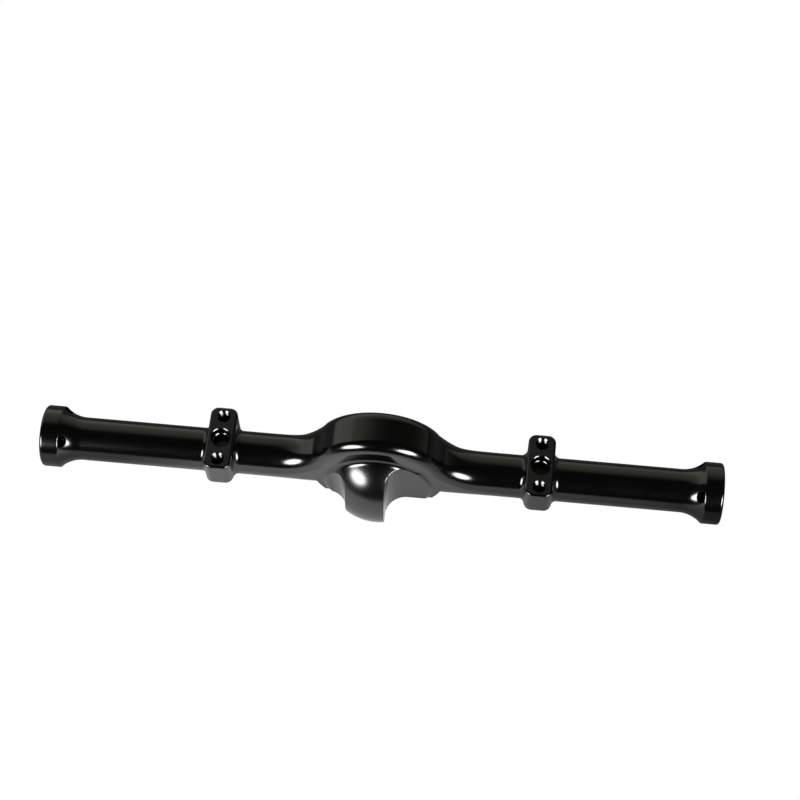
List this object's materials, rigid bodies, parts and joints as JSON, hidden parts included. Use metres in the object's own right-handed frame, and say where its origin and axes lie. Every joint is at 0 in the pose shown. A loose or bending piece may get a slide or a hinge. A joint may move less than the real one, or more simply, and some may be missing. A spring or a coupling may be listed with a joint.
{
  "type": "axle housing",
  "caption": "Straight axle housing machined in one piece: a tube with an arched gear case and offset nose, leaf spring pads on top, and a screw flange at each end.",
  "frame": {"origin": "on the axle's centre line, halfway between the two end faces", "axes": "+X along the axle, +Z the way the spring pads face, the nose of the gear case points to -Y"},
  "size_m": [0.14, 0.0189, 0.0226],
  "materials": {
    "housing": "gloss black anodised"
  },
  "bodies": {
    "root": {"axle_housing": "housing"}
  },
  "joints": []
}
